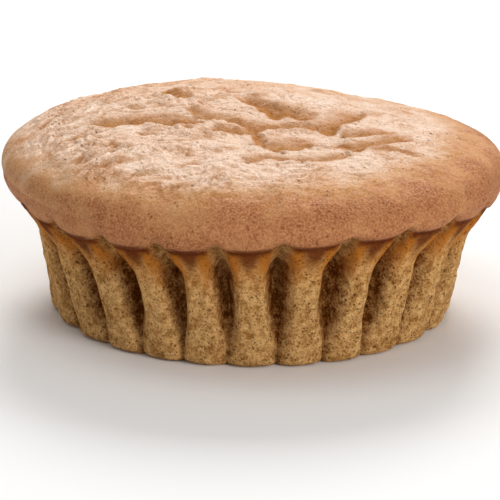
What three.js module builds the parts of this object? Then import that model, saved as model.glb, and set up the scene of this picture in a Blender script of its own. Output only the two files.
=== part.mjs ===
// A fluted sponge cake, baked in a pleated round tin and turned out: one solid piece of sponge.
// Below the tin's rim it carries the print of the pleats, and above the rim it has risen over the
// edge into a wide browned crust, whose middle has sunk a little and wrinkled as the cake cooled.
// Millimetres, +Z up, origin on the table under the middle of the cake. Bearings are measured
// from the front, -Y, towards the right, +X.
import * as THREE from 'three';

// ---- Driving sizes -------------------------------------------------------------------------
const CAKE_ACROSS = 100; // over the widest part of the risen crust
const CAKE_HEIGHT = 39.6; // from the table to the rounded shoulder of the crust
const RIM_HEIGHT = 24.8; // the tin's rim, where the crust begins
const BASE_ACROSS = 80; // over the pleats at the table
const RIM_ACROSS = 89.8; // over the pleats just below the rim
const PLEATS = 24; // ridges printed by the tin

// ---- Sizes that follow from them, and the smaller ones ---------------------------------------
const CRUST_RADIUS = CAKE_ACROSS / 2;
const BASE_RADIUS = BASE_ACROSS / 2;
const RIM_RADIUS = RIM_ACROSS / 2;
const WIDEST_HEIGHT = RIM_HEIGHT + 0.34 * (CAKE_HEIGHT - RIM_HEIGHT); // where the crust is widest
const FRONT_SAG = 1.2; // at the front it is widest this much lower
const RIDGE_FLARE = 2.6; // how far a ridge spreads outward where the batter climbed over the rim
const GROOVE_DEPTH_TOP = 5.4; // groove between two ridges, under the crust
const GROOVE_DEPTH_BASE = 2.4; // the same groove at the table
const GROOVE_ARCH_KEPT = 0.2; // share of the depth that is left where a groove runs out at the rim
const RIDGE_SHARE = { base: 0.5, middle: 0.34, top: 0.62 }; // of the pleat, before it turns in
const CRUST_LIFT = 1.3; // the crust's edge is this much higher over a groove than over a ridge
const LIP = { groove: 0.25, ridge: 0.5 }; // the crust's edge overhangs the pleats by this much
const BASE_ROUND = 1.6; // rounding between the side and the flat base
const BASE_SHIFT = { x: -0.3, y: 0 }; // the base sits this far off the middle of the crust
const GATHER = THREE.MathUtils.degToRad(7.3); // at the table the ridges crowd towards one bearing
const GATHER_BEARING = THREE.MathUtils.degToRad(10);
const SHOULDER_POWER = 2.9; // squareness of the crust's section, along the radius
const CROWN_POWER = 2.4; // and along the height
const BACK_DROP = 3.6; // the crust has risen this much less at the back right
const SINK_DEPTH = 2.2; // the shallow dish in the middle of the crust
const SINK_RADIUS = 20;
const SINK_MIDDLE = { x: 6, y: -8 };
const UNEVEN_RADIUS = 0.6; // the crust's outline wanders this much from a circle
const RIM_WAVES = [ // and its lower edge rises and falls in these slow waves round the cake
  { times: 1, height: 0.35, turn: 1.2 },
  { times: 2, height: 0.55, turn: 0.4 },
  { times: 3, height: 0.75, turn: 0 },
];
const UNEVEN_PITCH = THREE.MathUtils.degToRad(0.9); // a ridge stands this far off its even place

const TAU = 2 * Math.PI;
const CRUST_COLOUR = 0xc48f63;

// Creases of the cooled crust, seen from above. Each runs through its points; depth is at the
// crease, width is how far its slopes reach, and swell is how much the sponge puffs up on the
// left and on the right of it, looking along the points.
const CREASES = [
  {
    name: 'long left',
    path: [[-37, -4.4], [-24, -5.2], [-13.8, -4.8], [-9.8, -2.2]],
    depth: 1.4, width: 2.2, swell: [0.5, 0.1],
  },
  {
    name: 'behind the small lobe',
    path: [[-9.8, -2.2], [-6.5, 0], [-2.6, -2.4], [0.2, -6.4]],
    depth: 1.0, width: 1.9, swell: [0.3, 0.1],
  },
  {
    name: 'before the small lobe',
    path: [[-10.5, -6.8], [-4.7, -8.6], [-0.4, -8]],
    depth: 0.9, width: 1.8, swell: [0.3, 0.1],
  },
  {
    name: 'back',
    path: [[-4.5, 19], [-0.5, 11], [3.1, 5.5], [4.8, 0.5]],
    depth: 1.5, width: 2.2, swell: [0.5, 0.2],
  },
  {
    name: 'back of the dish',
    path: [[3.6, 4.4], [7.2, 4], [13.5, 1]],
    depth: 1.3, width: 2.2, swell: [0.6, 0.1],
  },
  {
    name: 'back right',
    path: [[14.6, -8], [17.2, -1.8], [20.4, 3.4], [22.6, 10]],
    depth: 1.4, width: 2.4, swell: [0.6, 0.2],
  },
  {
    name: 'behind the lump',
    path: [[-0.3, -9], [4, -3.4], [10, -3.8], [15.2, -7.8]],
    depth: 1.2, width: 2.0, swell: [0.3, 0.2],
  },
  {
    name: 'left of the lump',
    path: [[0.3, -8], [0.9, -14], [4.6, -21.2]],
    depth: 1.1, width: 1.8, swell: [0.3, 0.1],
  },
  {
    name: 'before the lump',
    path: [[3.6, -20.6], [7.5, -18.6], [14.7, -15.6]],
    depth: 1.3, width: 2.4, swell: [0.6, 0.1],
  },
  {
    name: 'front right',
    path: [[19.3, -21], [22.5, -16.8], [28, -12.4], [31.6, -8]],
    depth: 1.1, width: 2.0, swell: [0.3, 0.1],
  },
  {
    name: 'right',
    path: [[15.8, -8.6], [23, -9], [28.6, -4.6]],
    depth: 0.9, width: 1.9, swell: [0.3, 0.1],
  },
  {
    name: 'front lip',
    path: [[-3.5, -28.8], [2.5, -26.4], [9, -27.6], [17, -24], [19.3, -22]],
    depth: 0.8, width: 1.8, swell: [0.2, 0.1],
  },
  {
    name: 'back left, short',
    path: [[-20, 21.4], [-16.2, 15], [-11.5, 12.2]],
    depth: 1.0, width: 1.9, swell: [0.3, 0.1],
  },
  {
    name: 'left, short',
    path: [[-28.5, 8.4], [-20.5, 5.6]],
    depth: 0.7, width: 1.8, swell: [0.2, 0.1],
  },
];
const CREASE_STEPS = 10; // straight pieces in each crease
const CREASE_END = 6; // a crease runs out over this length at its ends
const RELIEF_FULL_RADIUS = 0.8; // the creases are full inside this share of the crust's radius
const RELIEF_NO_RADIUS = 0.96; // and gone outside this one

// ---- Small helpers ---------------------------------------------------------------------------
const { lerp, smoothstep } = THREE.MathUtils;

/** A smooth closed wander of about one unit, round the cake. Each turn picks other waves. */
function wander(bearing, turn) {
  return (
    0.5 * Math.sin(2 * bearing + 1.7 * turn) +
    0.3 * Math.sin(3 * bearing + 2.9 * turn + 1) +
    0.25 * Math.sin(5 * bearing + 4.1 * turn + 2)
  );
}

/** How far a point is across its pleat: 0 on the top of a ridge, 1 at the bottom of a groove. */
function acrossPleat(bearing, climb) {
  const uneven = UNEVEN_PITCH * (Math.sin(3 * bearing + 0.6) + 0.6 * Math.sin(7 * bearing + 2));
  const gathered = (1 - climb) * GATHER * Math.sin(bearing - GATHER_BEARING);
  const pleat = ((bearing + uneven + gathered) * PLEATS) / TAU;
  return 2 * Math.abs(pleat - Math.round(pleat));
}

/** The bearing at this climb on the ridge or groove that reaches the crust at a bearing. */
function alongPleat(crustBearing, climb) {
  const rounds = 6;
  let bearing = crustBearing;
  for (let i = 0; i < rounds; i++) {
    bearing = crustBearing - (1 - climb) * GATHER * Math.sin(bearing - GATHER_BEARING);
  }
  return bearing;
}

// ---- The creases -----------------------------------------------------------------------------
/** The crease as short straight pieces, with the length along it at each point. */
function tracedCrease(crease) {
  const curve = new THREE.CatmullRomCurve3(
    crease.path.map(([x, y]) => new THREE.Vector3(x, y, 0)),
  );
  return { ...crease, points: curve.getSpacedPoints(CREASE_STEPS), length: curve.getLength() };
}

const tracedCreases = CREASES.map(tracedCrease);

/** Where a plan point lies beside a crease: its distance, its side and how far along it is. */
function besideCrease(crease, x, y) {
  let nearest = { distance: Infinity, side: 1, along: 0 };
  for (let i = 0; i < CREASE_STEPS; i++) {
    const from = crease.points[i];
    const to = crease.points[i + 1];
    const dx = to.x - from.x;
    const dy = to.y - from.y;
    const share = THREE.MathUtils.clamp(
      ((x - from.x) * dx + (y - from.y) * dy) / (dx * dx + dy * dy), 0, 1);
    const offX = x - from.x - share * dx;
    const offY = y - from.y - share * dy;
    const distance = Math.hypot(offX, offY);
    if (distance < nearest.distance) {
      nearest = {
        distance,
        side: dx * offY - dy * offX,
        along: ((i + share) * crease.length) / CREASE_STEPS,
      };
    }
  }
  return nearest;
}

/** The height that one crease adds at a plan point: a sharp valley with a puffed slope each side. */
function creaseHeight(crease, x, y) {
  const { distance, side, along } = besideCrease(crease, x, y);
  const reach = distance / crease.width;
  const ends = smoothstep(Math.min(along, crease.length - along), -0.4 * CREASE_END, CREASE_END);
  const swell = side > 0 ? crease.swell[0] : crease.swell[1];
  const valley = -crease.depth * Math.exp(-reach * reach);
  const puff = swell * reach * Math.exp(1 - reach) * (1 - Math.exp(-reach * reach));
  return ends * (valley + puff);
}

// ---- The cake's surface ----------------------------------------------------------------------
/** Height of the crust's lower edge. */
function rimHeight(bearing) {
  const wave = ({ times, height, turn }) => height * Math.sin(times * bearing + turn);
  const uneven = RIM_WAVES.reduce((sum, each) => sum + wave(each), 0);
  return RIM_HEIGHT + uneven + CRUST_LIFT * acrossPleat(bearing, 1) ** 2;
}

/** A point from its distance from the axis, its height and its bearing. */
function pointAt(bearing, radius, height) {
  const lean = 1 - Math.min(height / RIM_HEIGHT, 1);
  return new THREE.Vector3(
    radius * Math.sin(bearing) + lean * BASE_SHIFT.x,
    -radius * Math.cos(bearing) + lean * BASE_SHIFT.y,
    height,
  );
}

/** How deep the section has gone into the groove, 0 to 1. Near the table the ridges are round
 *  lobes with a crease between them, higher up a channel is scooped out between them, and it ends
 *  in a pointed arch under the crust. */
function grooveShape(across, climb) {
  const lobes = 1 - Math.sqrt(Math.max(0, 1 - across ** 2.4));
  const middle = lerp(RIDGE_SHARE.base, RIDGE_SHARE.middle, smoothstep(climb, 0.1, 0.5));
  const ridge = lerp(middle, RIDGE_SHARE.top, smoothstep(climb, 0.76, 0.98));
  return lerp(lobes, smoothstep(across, ridge, 1.04), smoothstep(climb, 0.05, 0.4));
}

/** The pleated side, from the table at climb 0 to the crust at climb 1. */
function sidePoint(bearing, climb) {
  const height = climb * rimHeight(bearing);
  const across = acrossPleat(bearing, climb);
  const ridge =
    lerp(BASE_RADIUS, RIM_RADIUS, climb ** 1.15) + RIDGE_FLARE * smoothstep(climb, 0.7, 1.02);
  const arch = 1 - (1 - GROOVE_ARCH_KEPT) * smoothstep(climb, 0.78, 1);
  const depth = lerp(GROOVE_DEPTH_BASE, GROOVE_DEPTH_TOP, smoothstep(climb, 0, 0.7)) * arch;
  const edge = Math.max(0, 1 - height / BASE_ROUND);
  const rounding = BASE_ROUND * (1 - Math.sqrt(1 - edge * edge));
  return pointAt(bearing, ridge - depth * grooveShape(across, climb) - rounding, height);
}

/** The widest radius of the crust, and the height where it is that wide. */
function crustRadius(bearing) {
  return CRUST_RADIUS + UNEVEN_RADIUS * wander(bearing, 2);
}
function widestHeight(bearing) {
  return WIDEST_HEIGHT - FRONT_SAG * Math.max(0, Math.cos(bearing)) ** 1.5;
}

/** The crust's underside, from its lower edge at swing 0 to its widest at swing 1. */
function undersidePoint(bearing, swing) {
  const edge = sidePoint(bearing, 1);
  const lip = lerp(LIP.ridge, LIP.groove, acrossPleat(bearing, 1) ** 2);
  const edgeRadius = Math.hypot(edge.x, edge.y) + lip;
  const radius = lerp(edgeRadius, crustRadius(bearing), Math.sin((swing * Math.PI) / 2));
  const height = lerp(edge.z, widestHeight(bearing), swing ** 1.2);
  return pointAt(bearing, radius, height);
}

/** The top of the crust at a share of its radius, 1 at the widest and 0 in the middle. */
function crownPoint(bearing, share) {
  const point = pointAt(bearing, share * crustRadius(bearing), widestHeight(bearing));
  const rise = CAKE_HEIGHT - widestHeight(bearing);
  const full = (1 - share ** SHOULDER_POWER) ** (1 / CROWN_POWER);
  const backRight = smoothstep(point.x * 0.8 + point.y * 0.6, 14, CRUST_RADIUS);
  const sinkAway = Math.hypot(point.x - SINK_MIDDLE.x, point.y - SINK_MIDDLE.y) / SINK_RADIUS;
  const relief = tracedCreases.reduce((sum, c) => sum + creaseHeight(c, point.x, point.y), 0);
  const inside = 1 - smoothstep(share, RELIEF_FULL_RADIUS, RELIEF_NO_RADIUS);
  point.z +=
    (rise - BACK_DROP * backRight) * full -
    SINK_DEPTH * Math.exp(-sinkAway * sinkAway) +
    inside * relief;
  return point;
}

// ---- From rings of points to one closed solid --------------------------------------------------
const SIDE_COUNT = PLEATS * 10; // points round each ring of the pleated side
const UNDERSIDE_COUNT = PLEATS * 6; // round each ring of the crust's underside and shoulder
const CROWN_STEP = 2.0; // between the points of the crust
const SIDE_CLIMBS = [0, 0.022, 0.065, 0.2, 0.36, 0.52, 0.67, 0.8, 0.88, 0.95, 1];
const UNDERSIDE_SWINGS = [0, 0.3, 0.62, 1];
const CROWN_EDGE_SHARES = [0.992, 0.97, 0.935, 0.895];

/** One ring of points, all the way round. */
function ring(count, pointOfBearing) {
  return Array.from({ length: count }, (_, i) => pointOfBearing((i / count) * TAU));
}

/** The rings of the cake's skin from the table up to the middle of the crust. */
function skinRings() {
  const side = SIDE_CLIMBS.map((climb) =>
    ring(SIDE_COUNT, (b) => sidePoint(alongPleat(b, climb), climb)));
  const underside = UNDERSIDE_SWINGS.map((swing) =>
    ring(swing === 0 ? SIDE_COUNT : UNDERSIDE_COUNT, (b) => undersidePoint(b, swing)));
  const crownEdge = CROWN_EDGE_SHARES.map((share) =>
    ring(UNDERSIDE_COUNT, (b) => crownPoint(b, share)));
  const crown = [];
  const inner = CROWN_EDGE_SHARES.at(-1) * CRUST_RADIUS;
  for (let radius = inner - CROWN_STEP; radius > CROWN_STEP / 2; radius -= CROWN_STEP) {
    const count = Math.max(6, 6 * Math.round((TAU * radius) / CROWN_STEP / 6));
    crown.push(ring(count, (b) => crownPoint(b, radius / CRUST_RADIUS)));
  }
  return [...side, ...underside, ...crownEdge, ...crown];
}

/** Triangles between two rings, always taking the shorter way across. A ring can be one point,
 *  and two rings of as many points stay in step. */
function stitch(lower, upper, triangles) {
  const alike = lower.length === upper.length;
  let i = lower.length === 1 ? 1 : 0;
  let j = upper.length === 1 ? 1 : 0;
  while (i < lower.length || j < upper.length) {
    const [a, b] = [lower[i % lower.length], lower[(i + 1) % lower.length]];
    const [c, d] = [upper[j % upper.length], upper[(j + 1) % upper.length]];
    const shorter = b.point.distanceTo(c.point) < d.point.distanceTo(a.point);
    const next = alike && i !== j ? i < j : shorter;
    const alongLower = j === upper.length || (i < lower.length && next);
    triangles.push(...(alongLower ? [a.index, b.index, c.index] : [a.index, d.index, c.index]));
    if (alongLower) i += 1;
    else j += 1;
  }
}

/** The closed geometry of the whole cake, with the middle of its plan on the origin. */
function cakeGeometry() {
  const points = [];
  const number = (point) => ({ point, index: points.push(point) - 1 });
  const rings = skinRings().map((ringPoints) => ringPoints.map(number));
  const triangles = [];
  for (let r = 0; r + 1 < rings.length; r++) stitch(rings[r], rings[r + 1], triangles);
  const table = number(new THREE.Vector3(BASE_SHIFT.x, BASE_SHIFT.y, 0));
  const crown = number(crownPoint(0, 0));
  stitch([table], rings[0], triangles);
  stitch(rings.at(-1), [crown], triangles);

  const geometry = new THREE.BufferGeometry().setFromPoints(points);
  geometry.setIndex(triangles);
  geometry.computeBoundingBox();
  const middle = geometry.boundingBox.getCenter(new THREE.Vector3());
  geometry.translate(-middle.x, -middle.y, 0);
  geometry.computeVertexNormals();
  return geometry;
}

// ---- The cake ----------------------------------------------------------------------------------
const cake = new THREE.Mesh(
  cakeGeometry(),
  new THREE.MeshStandardMaterial({ color: CRUST_COLOUR, roughness: 0.75, metalness: 0 }),
);
cake.name = 'sponge_cake';

const group = new THREE.Group();
group.add(cake);

export default group;
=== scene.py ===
"""A fluted sponge cake, dressed for its portrait.

The cake is one piece of sponge. Its side carries the print of a pleated round tin, and above the
tin's rim the batter has risen over the edge into a wide browned crust, whose middle has sunk and
wrinkled as the cake cooled. Sizes are named in millimetres and the finished mesh is in metres,
with +Z up. Bearings run from the front of the cake, -Y, towards its right, +X.
"""

import logging
import math
from dataclasses import dataclass, field
from enum import Enum
from functools import partial
from typing import Any, Callable

import bpy
import numpy as np
from mathutils import Matrix, Vector, noise


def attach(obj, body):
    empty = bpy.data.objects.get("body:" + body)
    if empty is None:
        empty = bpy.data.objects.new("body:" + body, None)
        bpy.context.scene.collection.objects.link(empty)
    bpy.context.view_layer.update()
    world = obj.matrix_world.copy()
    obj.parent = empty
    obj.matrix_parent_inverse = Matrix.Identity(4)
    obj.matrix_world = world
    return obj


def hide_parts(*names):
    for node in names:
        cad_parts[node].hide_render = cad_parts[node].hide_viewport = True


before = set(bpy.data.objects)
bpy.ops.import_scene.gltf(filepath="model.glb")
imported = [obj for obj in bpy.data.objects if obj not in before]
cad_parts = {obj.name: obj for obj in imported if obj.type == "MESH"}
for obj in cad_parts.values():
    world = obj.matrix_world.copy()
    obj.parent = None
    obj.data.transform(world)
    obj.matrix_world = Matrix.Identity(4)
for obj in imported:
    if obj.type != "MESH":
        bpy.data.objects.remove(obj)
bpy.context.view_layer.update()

log = logging.getLogger("sponge_cake")

MM = 0.001  # metres in a millimetre
TAU = 2.0 * math.pi
SEED_STEP = (31.7, 17.3, 7.9)  # how far each seed moves the noise, in lumps
FRACTAL_FALL, FRACTAL_RATIO = 1.0, 2.0  # how fast the noise's finer layers fade and shrink
SCATTER = 12.9898  # the sines of whole numbers times this look random
MIX_A, MIX_B, MIX_COLOUR = 6, 7, 2  # a Mix node's two colour inputs and its colour output
MIX_LOW, MIX_HIGH = 2, 3  # a Mix node's two number inputs

Span = tuple[float, float]  # where something starts and where it ends
PlanLine = tuple[tuple[float, float], ...]  # points of a line on the plan
Waves = tuple[tuple[int, float, float], ...]  # each wave's count in a turn, height and start
Layers = tuple[tuple[float, float, int], ...]  # each layer's height, lump size and seed
Socket = bpy.types.NodeSocket
NodeMaker = Callable[..., Socket]


# ---- Small helpers -----------------------------------------------------------------------------


def smoothstep(value: np.ndarray, low: float, high: float) -> np.ndarray:
    """Eases from 0 at low to 1 at high.

    Args:
        value: the numbers to ease.
        low: where the result leaves 0.
        high: where the result reaches 1.

    Returns:
        The eased numbers.
    """
    share = np.clip((value - low) / (high - low), 0.0, 1.0)
    return share * share * (3.0 - 2.0 * share)


def lerp(start: Any, end: Any, share: Any) -> Any:
    """Goes straight from start at share 0 to end at share 1."""
    return start + (end - start) * share


def band(value: np.ndarray, rise: Span, fall: Span) -> np.ndarray:
    """Eases from 0 to 1 over the rise, and back to 0 over the fall."""
    return smoothstep(value, *rise) * (1 - smoothstep(value, *fall))


def waves(bearing: np.ndarray, parts: Waves) -> np.ndarray:
    """Adds smooth waves round the cake.

    Args:
        bearing: bearings in radians.
        parts: the waves.

    Returns:
        Their sum at each bearing.
    """
    return sum(height * np.sin(count * bearing + start) for count, height, start in parts)


def cloud(points: np.ndarray, grain: float, seed: int, octaves: int = 1) -> np.ndarray:
    """Smooth noise of about -1 to 1 at points in space.

    Args:
        points: N by 3, in millimetres.
        grain: the size of its largest lumps, in millimetres.
        seed: shifts the noise to another place.
        octaves: how many layers it has, each finer than the last.

    Returns:
        N numbers.
    """
    shift = Vector([seed * step for step in SEED_STEP])
    scaled = (points / grain).tolist()
    if octaves == 1:
        return np.array([noise.noise(Vector(p) + shift) for p in scaled])
    fall, ratio = FRACTAL_FALL, FRACTAL_RATIO
    return np.array([noise.fractal(Vector(p) + shift, fall, ratio, octaves) for p in scaled])


def in_plan(x: np.ndarray, y: np.ndarray, level: float = 0.0) -> np.ndarray:
    """Points of the plan, all at one level."""
    return np.stack([x, y, np.full_like(x, level)], axis=-1)


def lumps(points: np.ndarray, layers: Layers) -> np.ndarray:
    """Adds layers of noise at points in space."""
    return sum(height * cloud(points, grain, seed) for height, grain, seed in layers)


def linear_colour(hex_colour: str) -> tuple[float, float, float, float]:
    """Turns an sRGB hex value such as "#c48f63" into Blender's linear colour.

    Args:
        hex_colour: six hex digits after a hash.

    Returns:
        Linear red, green, blue and an alpha of 1.
    """
    channels = [int(hex_colour[i : i + 2], 16) / 255 for i in (1, 3, 5)]
    linear = [c / 12.92 if c <= 0.04045 else ((c + 0.055) / 1.055) ** 2.4 for c in channels]
    return (*linear, 1.0)


def add_node(
    tree: bpy.types.NodeTree,
    kind: str,
    settings: dict[str | int, Any],
    out: str | int = 0,
) -> Socket:
    """Adds a node with its settings and links.

    Args:
        tree: the node tree of a material or a world.
        kind: the node's type without its first words, such as "Math" for ShaderNodeMath.
        settings: by property name, or by the name or number of an input. A socket is linked, and
            anything else is set.
        out: the name or number of the output to give back.

    Returns:
        The node's output, or its first input where it has no output.
    """
    node = tree.nodes.new("ShaderNode" + kind)
    for name, value in settings.items():
        if isinstance(value, Socket):
            tree.links.new(value, node.inputs[name])
        elif isinstance(name, str) and name in node.bl_rna.properties:
            setattr(node, name, value)
        else:
            node.inputs[name].default_value = value
    return node.outputs[out] if node.outputs else node.inputs[0]


# ---- The print of the tin ------------------------------------------------------------------------


@dataclass(frozen=True)
class PleatedSide:
    """The side of the cake, printed by the pleats of the tin. Millimetres and radians. A climb is 0
    at the table and 1 at the crust, and each span of climbs is where one shape turns into the next.
    """

    pleats: int = 24
    base_radius: float = 40.0
    rim_radius: float = 44.9
    wall_power: float = 1.15
    rim_height: float = 24.8
    rim_waves: Waves = ((1, 0.35, 1.2), (2, 0.55, 0.4), (3, 0.75, 0.0))
    crust_lift: float = 1.3
    ridge_flare: float = 2.6
    flare_climbs: Span = (0.7, 1.02)
    # the section: lobes at the table, ridges and scooped channels above them, arches at the top
    groove_depth_top: float = 5.4
    groove_depth_base: float = 2.4
    deepening_climbs: Span = (0.0, 0.7)
    groove_arch_kept: float = 0.2
    arch_climbs: Span = (0.78, 1.0)
    ridge_share_base: float = 0.5
    ridge_share_middle: float = 0.34
    ridge_share_top: float = 0.62
    narrowing_climbs: Span = (0.1, 0.5)
    widening_climbs: Span = (0.76, 0.98)
    lobe_power: float = 2.4
    lobe_climbs: Span = (0.05, 0.4)
    channel_end: float = 1.04
    base_round: float = 1.6
    base_shift: tuple[float, float] = (-0.3, 0.0)
    # what makes each pleat differ from the next
    gather: float = math.radians(7.3)
    gather_bearing: float = math.radians(10.0)
    uneven_pitch: float = math.radians(0.9)
    pitch_waves: Waves = ((3, 1.0, 0.6), (7, 0.6, 2.0))
    ridge_wobble: float = math.radians(0.9)
    wobble_bends: float = 5.2
    wobble_waves: Waves = ((11, 4.0, 0.0),)
    uneven_depth: float = 0.14
    even_below_crust: float = 0.3
    depth_seed: float = 0.4
    lump_height: float = 0.5
    lump_layers: Layers = ((0.6, 4.2, 3), (0.4, 1.9, 5), (0.2, 1.0, 6))
    lump_margin: float = 0.06

    def pleat_at(self, bearing: np.ndarray, climb: np.ndarray) -> np.ndarray:
        """Counts pleats round the cake.

        Args:
            bearing: bearings in radians.
            climb: 0 at the table to 1 at the crust.

        Returns:
            A whole number on the top of a ridge and a half at the bottom of a groove.
        """
        uneven = self.uneven_pitch * waves(bearing, self.pitch_waves)
        gathered = (1 - climb) * self.gather * np.sin(bearing - self.gather_bearing)
        bends = np.sin(self.wobble_bends * climb + waves(bearing, self.wobble_waves))
        wobble = self.ridge_wobble * bends * (1 - climb)
        return (bearing + uneven + gathered + wobble) * self.pleats / TAU

    def across(self, bearing: np.ndarray, climb: np.ndarray) -> np.ndarray:
        """How far a point is across its pleat: 0 on a ridge and 1 in a groove."""
        pleat = self.pleat_at(bearing, climb)
        return 2 * np.abs(pleat - np.round(pleat))

    def own(self, bearing: np.ndarray, climb: np.ndarray) -> np.ndarray:
        """A number of -1 to 1 that each groove keeps from the table to the crust."""
        groove = np.floor(self.pleat_at(bearing, climb)) % self.pleats
        return np.sin(groove * SCATTER + self.depth_seed)

    def rim_at(self, bearing: np.ndarray) -> np.ndarray:
        """Height of the crust's lower edge, which is lifted over each groove."""
        lift = self.crust_lift * self.across(bearing, 1.0) ** 2
        return self.rim_height + waves(bearing, self.rim_waves) + lift

    def groove_shape(self, across: np.ndarray, climb: np.ndarray) -> np.ndarray:
        """How deep the section is in the groove, 0 to 1: round lobes with a crease between them
        near the table, ridges with a scooped channel higher up, and a pointed arch at the top."""
        lobes = 1 - np.sqrt(np.maximum(0, 1 - across**self.lobe_power))
        narrow = smoothstep(climb, *self.narrowing_climbs)
        ridge = lerp(self.ridge_share_base, self.ridge_share_middle, narrow)
        ridge = lerp(ridge, self.ridge_share_top, smoothstep(climb, *self.widening_climbs))
        channel = smoothstep((across - ridge) / (self.channel_end - ridge), 0, 1)
        return lerp(lobes, channel, smoothstep(climb, *self.lobe_climbs))

    def lean(self, radius: np.ndarray, bearing: np.ndarray, height: np.ndarray) -> np.ndarray:
        """A point from its distance from the axis, its bearing and its height.

        Args:
            radius: distance from the axis.
            bearing: bearings in radians.
            height: height over the table.

        Returns:
            N by 3 points, leaning as the cake does below its rim.
        """
        lean = 1 - np.minimum(height / self.rim_height, 1)
        x = radius * np.sin(bearing) + lean * self.base_shift[0]
        y = -radius * np.cos(bearing) + lean * self.base_shift[1]
        return np.stack([x, y, np.broadcast_to(height, x.shape)], axis=-1)

    def depth_at(self, bearing: np.ndarray, climb: np.ndarray) -> np.ndarray:
        """Depth of the section below the ridges, in millimetres."""
        arch = 1 - (1 - self.groove_arch_kept) * smoothstep(climb, *self.arch_climbs)
        deeper = smoothstep(climb, *self.deepening_climbs)
        depth = lerp(self.groove_depth_base, self.groove_depth_top, deeper)
        under_crust = smoothstep(1 - climb, 0, self.even_below_crust)
        uneven = 1 + self.uneven_depth * self.own(bearing, climb) * under_crust
        return depth * arch * uneven * self.groove_shape(self.across(bearing, climb), climb)

    def points(self, bearing: np.ndarray, climb: np.ndarray) -> np.ndarray:
        """The pleated surface.

        Args:
            bearing: bearings in radians.
            climb: 0 at the table to 1 at the crust.

        Returns:
            N by 3 points in millimetres.
        """
        height = climb * self.rim_at(bearing)
        ridge = lerp(self.base_radius, self.rim_radius, climb**self.wall_power)
        ridge = ridge + self.ridge_flare * smoothstep(climb, *self.flare_climbs)
        edge = np.maximum(0, 1 - height / self.base_round)
        rounding = self.base_round * (1 - np.sqrt(1 - edge**2))
        smooth = self.lean(ridge, bearing, height)
        inside = smoothstep(climb, 0, self.lump_margin) * smoothstep(1 - climb, 0, self.lump_margin)
        bumps = self.lump_height * inside * lumps(smooth, self.lump_layers)
        return self.lean(ridge - self.depth_at(bearing, climb) - rounding + bumps, bearing, height)


# ---- The crust --------------------------------------------------------------------------------


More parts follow.
